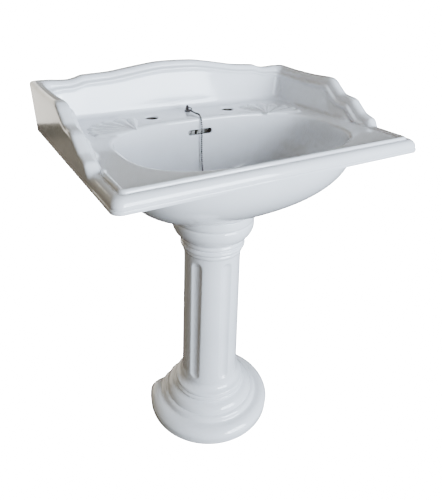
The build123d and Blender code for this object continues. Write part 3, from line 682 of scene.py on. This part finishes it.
def build_basin():
    """The basin's casting as one mesh, with the foot ring and the two shell reliefs grown into it."""
    edge = edge_rings()
    plan = edge[0][:, :2]
    direction = np.arctan2(plan[:, 1] - BOWL_Y, plan[:, 0])
    bowl = bowl_rings(direction)
    deck = between(bowl[-1], edge[0], 12)
    rings = bowl + deck + edge + underside_rings(direction, edge[-1])
    basin = ring_object("basin_casting", rings)
    outward(basin)
    cutters = [slot_cutter()]
    for side in (-1, 1):
        cutters.append(hole_cutter("tap_cutter", TAP_R, side * TAP_X, TAP_Y, DECK_Z - CUT_BELOW, DECK_Z))
        cutters.append(wall_hole_cutter(side))
    cutters.append(hole_cutter("stay_cutter", STAY_HOLE_R, 0, STAY_Y, DECK_Z - CUT_BELOW, DECK_Z))
    combine(basin, cutters, "DIFFERENCE")
    join(basin, [seat_ring(), shell_relief(-1), shell_relief(1)])
    return basin


# Pedestal -------------------------------------------------------------------------------------------------


def arc(start, middle, end, count):
    """Points on the circle through three points, from start up to but without end."""
    (ax, ay), (bx, by), (cx, cy) = start, middle, end
    d = 2 * (ax * (by - cy) + bx * (cy - ay) + cx * (ay - by))
    aa, bb, cc = ax * ax + ay * ay, bx * bx + by * by, cx * cx + cy * cy
    ox = (aa * (by - cy) + bb * (cy - ay) + cc * (ay - by)) / d
    oy = (aa * (cx - bx) + bb * (ax - cx) + cc * (bx - ax)) / d
    radius = math.hypot(ax - ox, ay - oy)
    first = math.atan2(ay - oy, ax - ox)
    via = (math.atan2(by - oy, bx - ox) - first) % (2 * math.pi)
    sweep = (math.atan2(cy - oy, cx - ox) - first) % (2 * math.pi)
    if via > sweep:
        sweep -= 2 * math.pi
    turns = [first + sweep * i / count for i in range(count)]
    return [(ox + radius * math.cos(t), oy + radius * math.sin(t)) for t in turns]


# The pedestal is in millimetres: the shaft's ends as (radius, z), and the flutes
SHAFT_LOW = (79.5, 130)
SHAFT_HIGH = (71.0, 538)
FLUTE_ANGLES = (-124, -62, 0, 62, 124)
FLUTE_HALF = 15.6
FLUTE_BAR_R = 20.0
FLUTE_DEPTH = 6.5
FLUTE_LOW = 144
FLUTE_HIGH = 526
FLUTE_EDGE = 0.9
SLOT_HALF = 42


def pedestal_profile():
    """The turned outside, from the floor up, as (radius, z) in millimetres."""
    profile = [(168, 0), (174.5, 0.3), (176, 1.8), (176.2, 8), (176.6, 16), (177, 24)]
    profile += arc((177, 24), (168, 38), (147.5, 45), 12)[1:]
    profile += [(147.2, 45.1), (144, 45.5), (141, 46.2), (140, 47.2), (138.8, 49), (137.6, 51.6)]
    profile += arc((137, 52.4), (133.6, 57.4), (127.4, 59.8), 8)
    profile += [(127.2, 60.0), (126.3, 60.6), (126, 61.6)]
    profile += arc((125.8, 62.4), (120, 75), (107, 83.6), 12)
    profile += [(106.6, 83.9), (103.6, 84.9), (101.4, 86.2), (100.9, 87.8)]
    profile += arc((101, 88.4), (102.8, 92), (101, 95.8), 7)
    profile += [(100.6, 96.3), (98.6, 97.0), (97.2, 97.8), (97, 99)]
    profile += arc((97.2, 99.6), (98.7, 104), (96.6, 109.2), 7)
    profile += arc((96.4, 109.6), (84.2, 117.6), SHAFT_LOW, 10)
    z_low, z_high = SHAFT_LOW[1], SHAFT_HIGH[1]
    heights = [np.linspace(z_low, 172, 26), np.linspace(180, 490, 18), np.linspace(497, 534, 26)]
    for z in np.concatenate(heights):
        share = (z - z_low) / (z_high - z_low)
        profile.append((SHAFT_LOW[0] + share * (SHAFT_HIGH[0] - SHAFT_LOW[0]), z))
    profile += [(71.0, 536), (71.2, 537.6), (71.9, 538.6), (73, 539.4)]
    profile += arc((73.3, 540.2), (75.2, 544.5), (73.4, 548.6), 7)
    profile += [(73.2, 549), (72.9, 549.8), (73.4, 550.4), (75, 551)]
    profile += arc((75.6, 551.3), (80.4, 557.5), (76, 563.6), 10)
    profile += [(75.6, 564), (75.3, 564.8), (75.8, 565.4), (77, 566)]
    profile += arc((77.4, 566.3), (79.3, 570.5), (77.4, 574.6), 7)
    profile += [(77, 575.2), (76.8, 576.4), (77.1, 577.8), (78, 579)]
    profile += arc((78.4, 579.4), (94.5, 595), (99, 621.4), 18)
    profile += [(98.9, 622.2), (98.2, 623.4), (97.3, 624.6), (97.1, 626), (97.3, 627.4), (98.3, 628.6)]
    profile += [(99.4, 629.5), (100, 630.8), (100, 636), (99.8, 642), (99.6, 647.5), (99.1, 649.3)]
    profile += [(97.5, 650)]
    return profile


def pedestal_hollow():
    """The turned inside, from the top down, as (radius, z) in millimetres."""
    corners = [(87, 650), (86, 648), (82, 606), (60, 572), (59, 538), (65, 130), (67, 108), (92, 64)]
    corners += [(122, 38), (158, 20), (160, 14), (160, 0)]
    points = []
    for (r0, z0), (r1, z1) in zip(corners, corners[1:]):
        for share in (0, 0.5):
            points.append((r0 + share * (r1 - r0), z0 + share * (z1 - z0)))
    return points + [corners[-1]]


def flute_depth(angles, z):
    """How deep the flutes cut at each angle from the front, at height z, in millimetres."""
    share = (z - SHAFT_LOW[1]) / (SHAFT_HIGH[1] - SHAFT_LOW[1])
    radius = SHAFT_LOW[0] + share * (SHAFT_HIGH[0] - SHAFT_LOW[0])
    depth = np.zeros(len(angles))
    beyond = max(FLUTE_LOW + FLUTE_HALF - z, z - (FLUTE_HIGH - FLUTE_HALF), 0)
    for centre in FLUTE_ANGLES:
        off = (angles - math.radians(centre) + math.pi) % (2 * math.pi) - math.pi
        across = np.hypot(radius * off, beyond)
        bar = np.sqrt(np.maximum(FLUTE_BAR_R**2 - across**2, 0)) - (FLUTE_BAR_R - FLUTE_DEPTH)
        bar = np.where(across > FLUTE_BAR_R, -(FLUTE_BAR_R - FLUTE_DEPTH), bar)
        depth = np.maximum(depth, soft_floor(bar, FLUTE_EDGE) * (across < FLUTE_HALF + 5))
    return depth


def build_pedestal():
    """The pedestal: turned rings with flutes, hollow, then cut flat and open at the back."""
    count = 360
    angles = spread(0, 2 * math.pi, count)
    from_front = (angles + math.pi / 2 + math.pi) % (2 * math.pi) - math.pi
    outside = pedestal_profile()
    rings = []
    for radius, z in outside + pedestal_hollow():
        outer = np.full(count, float(radius))
        if len(rings) < len(outside) and FLUTE_LOW - 6 < z < FLUTE_HIGH + 6:
            outer -= flute_depth(from_front, z)
        x = outer * np.cos(angles) * MM
        y = PED_Y + outer * np.sin(angles) * MM
        rings.append(np.column_stack([x, y, np.full(count, z * MM)]))
    pedestal = ring_object("pedestal_column", rings)
    outward(pedestal)
    slot_half = SLOT_HALF * MM
    behind = box_object("cutter", (-SIDE, PED_BACK, -0.02), (SIDE, PED_BACK + 0.3, PED_TOP + 0.02))
    gap = box_object("cutter", (-slot_half, PED_Y, -0.03), (slot_half, PED_BACK + 0.1, PED_TOP + 0.03))
    combine(pedestal, [behind, gap], "DIFFERENCE")
    return pedestal


# Materials ------------------------------------------------------------------------------------------------


def material(name, colour, roughness, metallic=0.0):
    """A Principled material; returns it with its tree and shader."""
    made = bpy.data.materials.new(name)
    made.use_nodes = True
    tree = made.node_tree
    shader = tree.nodes["Principled BSDF"]
    shader.inputs["Base Color"].default_value = (*colour, 1)
    shader.inputs["Roughness"].default_value = roughness
    shader.inputs["Metallic"].default_value = metallic
    return made, tree, shader


def noise(tree, scale, detail=3.0, rough=0.5):
    """A noise pattern in object space."""
    place = tree.nodes.new("ShaderNodeTexCoord")
    pattern = tree.nodes.new("ShaderNodeTexNoise")
    pattern.inputs["Scale"].default_value = scale
    pattern.inputs["Detail"].default_value = detail
    pattern.inputs["Roughness"].default_value = rough
    tree.links.new(place.outputs["Object"], pattern.inputs["Vector"])
    return pattern.outputs["Fac"]


def ramp(tree, value, stops):
    """A colour ramp from (position, colour) stops."""
    node = tree.nodes.new("ShaderNodeValToRGB")
    elements = node.color_ramp.elements
    while len(elements) < len(stops):
        elements.new(0.5)
    for element, (position, colour) in zip(elements, stops):
        element.position = position
        element.color = (*colour, 1)
    tree.links.new(value, node.inputs["Fac"])
    return node.outputs["Color"]


def grey_ramp(tree, value, low, high, start=0.3, end=0.7):
    """A ramp between two grey levels."""
    return ramp(tree, value, [(start, (low,) * 3), (end, (high,) * 3)])


def bump(tree, shader, value, strength, distance):
    """Adds a bump to the shader."""
    node = tree.nodes.new("ShaderNodeBump")
    node.inputs["Strength"].default_value = strength
    node.inputs["Distance"].default_value = distance
    tree.links.new(value, node.inputs["Height"])
    tree.links.new(node.outputs["Normal"], shader.inputs["Normal"])


def math_node(tree, operation, first, second, third=None):
    """A maths node; each input is a number or a socket."""
    node = tree.nodes.new("ShaderNodeMath")
    node.operation = operation
    for socket, value in zip(node.inputs, (first, second, third)):
        if isinstance(value, (int, float)):
            socket.default_value = value
        elif value is not None:
            tree.links.new(value, socket)
    return node.outputs["Value"]


def inside_box(tree, low, high):
    """1 inside a box of the object's space, 0 outside it."""
    place = tree.nodes.new("ShaderNodeTexCoord")
    split = tree.nodes.new("ShaderNodeSeparateXYZ")
    tree.links.new(place.outputs["Object"], split.inputs["Vector"])
    inside = 1.0
    for axis in range(3):
        middle = (low[axis] + high[axis]) / 2
        within = math_node(tree, "COMPARE", split.outputs[axis], middle, (high[axis] - low[axis]) / 2)
        inside = math_node(tree, "MULTIPLY", within, inside)
    return inside


def glaze():
    """White glaze, a little cloudy and rippled; inside the overflow and the holes, painted shade as a
    mottled near-black colour.
    """
    made, tree, shader = material("white_glaze", (0.8, 0.81, 0.84), 0.09)
    cloud = noise(tree, 5.0, 4.0)
    colour = ramp(tree, cloud, [(0.3, (0.74, 0.75, 0.79)), (0.7, (0.80, 0.81, 0.845))])
    # Painted shade: two boxes mark the inside of the overflow channel and the walls of the holes through
    # the deck
    bowl_back = BOWL_Y + BOWL_HALF_Y
    channel_low = (-36 * MM, bowl_back + 4 * MM, DECK_Z - 60 * MM)
    channel_high = (36 * MM, bowl_back + 24 * MM, DECK_Z - 20 * MM)
    holes_low = (-SIDE + 60 * MM, bowl_back + 20 * MM, DECK_UNDERSIDE + 0.5 * MM)
    holes_high = (SIDE - 60 * MM, BACK - 45 * MM, DECK_Z - 2.5 * MM)
    channel = inside_box(tree, channel_low, channel_high)
    holes = inside_box(tree, holes_low, holes_high)
    painted_shade_mask = math_node(tree, "MAXIMUM", channel, holes)
    # Painted shade: a mottled near-black colour that stands in for the shade inside the overflow and the
    # holes
    painted_shade = ramp(tree, noise(tree, 160.0, 5.0), [(0.3, (0.03, 0.026, 0.022)), (0.7, (0.13, 0.115, 0.1))])
    mix = tree.nodes.new("ShaderNodeMix")
    mix.data_type = "RGBA"
    tree.links.new(painted_shade_mask, mix.inputs[0])
    tree.links.new(colour, mix.inputs[6])
    tree.links.new(painted_shade, mix.inputs[7])
    tree.links.new(mix.outputs[2], shader.inputs["Base Color"])
    tree.links.new(grey_ramp(tree, noise(tree, 14.0, 5.0), 0.07, 0.14), shader.inputs["Roughness"])
    shader.inputs["Coat Weight"].default_value = 0.35
    shader.inputs["Coat Roughness"].default_value = 0.03
    bump(tree, shader, noise(tree, 26.0, 2.0), 0.10, 0.0012)
    return made


def aged_plating():
    """Plating gone nearly black, with dull brown places where it is rubbed."""
    made, tree, shader = material("aged_plating", (0.3, 0.27, 0.24), 0.35, 1.0)
    stops = [(0.35, (0.012, 0.01, 0.008)), (0.68, (0.09, 0.08, 0.068))]
    colour = ramp(tree, noise(tree, 420.0, 5.0), stops)
    tree.links.new(colour, shader.inputs["Base Color"])
    tree.links.new(grey_ramp(tree, noise(tree, 600.0), 0.25, 0.55), shader.inputs["Roughness"])
    bump(tree, shader, noise(tree, 900.0), 0.25, 0.0002)
    return made


def chrome():
    """Polished chrome with water marks."""
    made, tree, shader = material("chrome_plating", (0.78, 0.78, 0.79), 0.12, 1.0)
    colour = ramp(tree, noise(tree, 90.0, 5.0), [(0.35, (0.62, 0.62, 0.62)), (0.65, (0.82, 0.82, 0.83))])
    tree.links.new(colour, shader.inputs["Base Color"])
    tree.links.new(grey_ramp(tree, noise(tree, 150.0, 5.0), 0.08, 0.24), shader.inputs["Roughness"])
    return made


def brass():
    """Turned brass with a fine grain and dull spots."""
    made, tree, shader = material("turned_brass", (0.72, 0.55, 0.27), 0.3, 1.0)
    colour = ramp(tree, noise(tree, 120.0, 5.0), [(0.3, (0.48, 0.35, 0.16)), (0.7, (0.78, 0.62, 0.33))])
    tree.links.new(colour, shader.inputs["Base Color"])
    tree.links.new(grey_ramp(tree, noise(tree, 260.0), 0.22, 0.42), shader.inputs["Roughness"])
    bump(tree, shader, noise(tree, 800.0), 0.15, 0.0002)
    return made


def rubber(name, dark, light):
    """Matt rubber with a bloom on its surface."""
    made, tree, shader = material(name, light, 0.75)
    colour = ramp(tree, noise(tree, 180.0, 5.0), [(0.35, dark), (0.7, light)])
    tree.links.new(colour, shader.inputs["Base Color"])
    tree.links.new(grey_ramp(tree, noise(tree, 300.0), 0.6, 0.85), shader.inputs["Roughness"])
    bump(tree, shader, noise(tree, 1500.0), 0.3, 0.0002)
    return made


def white_plastic():
    """Moulded polypropylene with a fine texture."""
    made, tree, shader = material("white_polypropylene", (0.82, 0.82, 0.80), 0.42)
    colour = ramp(tree, noise(tree, 40.0, 4.0), [(0.3, (0.74, 0.74, 0.71)), (0.7, (0.82, 0.82, 0.80))])
    tree.links.new(colour, shader.inputs["Base Color"])
    tree.links.new(grey_ramp(tree, noise(tree, 220.0), 0.34, 0.5), shader.inputs["Roughness"])
    bump(tree, shader, noise(tree, 1100.0), 0.2, 0.00015)
    return made


def finish_nodes(materials):
    """Gives every CAD node that still shows the material of its slot."""
    for row in frame["record"]["subparts"]:
        node = frame["nodes"][row["node"]]
        chosen = materials[row["material_slot"]]
        for place in node.material_slots:
            place.material = chosen


# Chain ----------------------------------------------------------------------------------------------------

BEAD_R = 2.1 * MM
BEAD_STEP = 4.9 * MM
LINK_R = 0.28 * MM
CHAIN_ROUTE = [
    (0.0, FRONT + 384.0 * MM, DECK_Z + 5.6 * MM),
    (0.5 * MM, FRONT + 374.0 * MM, DECK_Z + 4.2 * MM),
    (0.8 * MM, FRONT + 363.0 * MM, DECK_Z + 4.7 * MM),
    (0.5 * MM, FRONT + 351.0 * MM, DECK_Z + 6.4 * MM),
    (0.0, FRONT + 339.5 * MM, DECK_Z + 1.5 * MM),
    (0.0, FRONT + 334.5 * MM, DECK_Z - 12.0 * MM),
    (0.2 * MM, FRONT + 334.6 * MM, DECK_Z - 36.0 * MM),
    (0.4 * MM, FRONT + 335.0 * MM, DECK_Z - 70.0 * MM),
    (0.2 * MM, FRONT + 333.0 * MM, DECK_Z - 103.0 * MM),
    (0.0, FRONT + 326.5 * MM, DECK_Z - 130.0 * MM),
    (0.0, FRONT + 315.0 * MM, DECK_Z - 149.0 * MM),
    (0.0, FRONT + 300.0 * MM, DECK_Z - 159.0 * MM),
    (0.0, FRONT + 285.0 * MM, DECK_Z - 160.5 * MM),
    (0.0, FRONT + 274.0 * MM, DECK_Z - 160.5 * MM),
]


def route_line(route):
    """Points along the smooth spline that has the route's points as its control points."""
    curve = bpy.data.curves.new("chain_route", "CURVE")
    curve.dimensions = "3D"
    curve.resolution_u = 24
    spline = curve.splines.new("NURBS")
    spline.points.add(len(route) - 1)
    for point, place in zip(spline.points, route):
        point.co = (*place, 1)
    spline.order_u = 3
    spline.use_endpoint_u = True
    obj = bpy.data.objects.new("chain_route", curve)
    bpy.context.scene.collection.objects.link(obj)
    bpy.context.view_layer.update()
    line = bpy.data.meshes.new_from_object(obj.evaluated_get(bpy.context.evaluated_depsgraph_get()))
    points = np.array([v.co[:] for v in line.vertices])
    bpy.data.objects.remove(obj)
    return points


def along(points, distance):
    """The places at the given distances along a line of points, and the line's directions there."""
    steps = np.linalg.norm(np.diff(points, axis=0), axis=1)
    reach = np.concatenate([[0], np.cumsum(steps)])
    places = np.stack([np.interp(distance, reach, points[:, i]) for i in range(3)], axis=1)
    ahead = np.stack([np.interp(distance + 0.5 * MM, reach, points[:, i]) for i in range(3)], axis=1)
    behind = np.stack([np.interp(distance - 0.5 * MM, reach, points[:, i]) for i in range(3)], axis=1)
    return places, ahead - behind


def build_chain():
    """The ball chain: hollow beads on short wire links, along the route."""
    line = route_line(CHAIN_ROUTE)
    length = float(np.linalg.norm(np.diff(line, axis=0), axis=1).sum())
    count = round(length / BEAD_STEP)
    step = length / count
    places, directions = along(line, step * (np.arange(count) + 0.5))
    profile = [(LINK_R, -0.5 * step)]
    for a in np.linspace(-1.35, 1.35, 9):
        profile.append((BEAD_R * math.cos(a), BEAD_R * math.sin(a)))
    profile.append((LINK_R, 0.5 * step))
    sides = 10
    points, faces = [], []
    for place, direction in zip(places, directions):
        turn = Vector(direction).to_track_quat("Z", "X").to_matrix()
        start = len(points)
        for radius, reach in profile:
            for i in range(sides):
                a = 2 * math.pi * i / sides
                offset = turn @ Vector((radius * math.cos(a), radius * math.sin(a), reach))
                points.append(Vector(place) + offset)
        for face in ring_faces(sides, len(profile), False):
            faces.append(tuple(start + corner for corner in face))
        faces.append(tuple(start + i for i in range(sides))[::-1])
        faces.append(tuple(start + (len(profile) - 1) * sides + i for i in range(sides)))
    return mesh_object("ball_chain", points, faces), line, length


# Stage ----------------------------------------------------------------------------------------------------

# Brightness of the floor and of the surroundings where the camera sees them
FLOOR_SHINE = 28
BACKDROP = 14

# The camera's place, its turn in degrees and its lens in millimetres
CAMERA_PLACE = (-0.5012, FRONT - 0.5514, 1.1058)
CAMERA_YAW = 32.568
CAMERA_PITCH = -30.893
CAMERA_ROLL = 2.255
CAMERA_LENS = 32.2


def build_floor():
    """A plain pale floor: bright to the camera, and dim as a source of bounced light."""
    floor = box_object("floor", (-12, -12, -0.02), (12, 12, 0))
    made, tree, shader = material("pale_floor", (0.09, 0.08, 0.065), 0.9)
    rays = tree.nodes.new("ShaderNodeLightPath")
    shader.inputs["Emission Color"].default_value = (1, 1, 1, 1)
    scale = tree.nodes.new("ShaderNodeMath")
    scale.operation = "MULTIPLY"
    scale.inputs[1].default_value = FLOOR_SHINE
    tree.links.new(rays.outputs["Is Camera Ray"], scale.inputs[0])
    tree.links.new(scale.outputs["Value"], shader.inputs["Emission Strength"])
    floor.data.materials.append(made)


def area_light(name, place, target, size, power, colour):
    """A soft square light."""
    data = bpy.data.lights.new(name, "AREA")
    data.shape = "SQUARE"
    data.size = size
    data.energy = power
    data.color = colour
    lamp = bpy.data.objects.new(name, data)
    lamp.location = place
    lamp.rotation_euler = (Vector(target) - Vector(place)).to_track_quat("-Z", "Y").to_euler()
    bpy.context.scene.collection.objects.link(lamp)


def build_world():
    """Pale surroundings: plain to the camera; as light, bright and cool in front, dim and warm behind."""
    world = bpy.data.worlds.new("studio")
    bpy.context.scene.world = world
    world.use_nodes = True
    tree = world.node_tree
    background = tree.nodes["Background"]
    place = tree.nodes.new("ShaderNodeTexCoord")
    facing = tree.nodes.new("ShaderNodeVectorMath")
    facing.operation = "DOT_PRODUCT"
    facing.inputs[1].default_value = Vector((0.62, -0.78, 0.1)).normalized()
    tree.links.new(place.outputs["Generated"], facing.inputs[0])
    spread_out = tree.nodes.new("ShaderNodeMapRange")
    spread_out.inputs["From Min"].default_value = -1
    spread_out.inputs["From Max"].default_value = 1
    tree.links.new(facing.outputs["Value"], spread_out.inputs["Value"])
    stops = [(0.0, (0.17, 0.15, 0.1)), (0.38, (0.15, 0.13, 0.09)), (0.62, (0.06, 0.055, 0.048))]
    stops += [(0.8, (0.2, 0.22, 0.26)), (1.0, (0.4, 0.45, 0.52))]
    sky = ramp(tree, spread_out.outputs["Result"], stops)
    rays = tree.nodes.new("ShaderNodeLightPath")
    seen = tree.nodes.new("ShaderNodeMix")
    seen.data_type = "RGBA"
    tree.links.new(rays.outputs["Is Camera Ray"], seen.inputs[0])
    tree.links.new(sky, seen.inputs[6])
    seen.inputs[7].default_value = (BACKDROP, BACKDROP, BACKDROP, 1)
    tree.links.new(seen.outputs[2], background.inputs["Color"])
    background.inputs["Strength"].default_value = 2.2


def build_camera():
    """The camera, at the front left and above, looking down at the basin."""
    yaw, pitch, roll = math.radians(CAMERA_YAW), math.radians(CAMERA_PITCH), math.radians(CAMERA_ROLL)
    forward = Vector((math.sin(yaw) * math.cos(pitch), math.cos(yaw) * math.cos(pitch), math.sin(pitch)))
    level = Vector((math.cos(yaw), -math.sin(yaw), 0))
    above = level.cross(forward)
    right = level * math.cos(roll) + above * math.sin(roll)
    up = -level * math.sin(roll) + above * math.cos(roll)
    data = bpy.data.cameras.new("camera")
    data.sensor_fit = "AUTO"
    data.sensor_width = 36
    data.lens = CAMERA_LENS
    camera = bpy.data.objects.new("camera", data)
    turn = Matrix((right, up, -forward)).transposed()
    camera.matrix_world = Matrix.Translation(CAMERA_PLACE) @ turn.to_4x4()
    bpy.context.scene.collection.objects.link(camera)
    bpy.context.scene.camera = camera


def light_stage():
    """A big soft window in front, a small bright pane beside it, and dim light from behind and above."""
    middle = (0, 0, 0.75)
    area_light("window", (1.0, -3.0, 1.35), middle, 1.8, 310, (0.78, 0.89, 1.0))
    area_light("pane", (0.1, -2.9, 1.1), middle, 0.35, 22, (0.9, 0.95, 1.0))
    area_light("fill", (-0.7, 2.9, 1.0), middle, 1.8, 26, (1.0, 0.96, 0.87))
    area_light("overhead", (0.8, -0.3, 3.0), middle, 2.0, 1, (0.97, 0.98, 1.0))


# Assembly -------------------------------------------------------------------------------------------------

build_camera()
build_world()
light_stage()
build_floor()

chain, chain_line, chain_length = build_chain()
ceramic = glaze()
plating = aged_plating()
MATERIALS = {
    "ceramic": ceramic,
    "chrome": chrome(),
    "aged_metal": plating,
    "brass": brass(),
    "rubber": rubber("black_rubber", (0.02, 0.02, 0.02), (0.07, 0.07, 0.068)),
    "soft_seal": rubber("grey_seal", (0.38, 0.38, 0.37), (0.52, 0.52, 0.5)),
    "poly": white_plastic(),
}
finish_nodes(MATERIALS)

chain.data.materials.append(plating)
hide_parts("plug_chain")
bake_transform(chain)

basin = build_basin()
basin.data.materials.clear()
basin.data.materials.append(ceramic)
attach(basin, "root")
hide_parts(*CASTING)

pedestal = build_pedestal()
pedestal.data.materials.clear()
pedestal.data.materials.append(ceramic)
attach(pedestal, "root")
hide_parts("pedestal")

SHARP_FROM = math.radians(38)
for piece in (basin, pedestal):
    piece.data.set_sharp_from_angle(angle=SHARP_FROM)
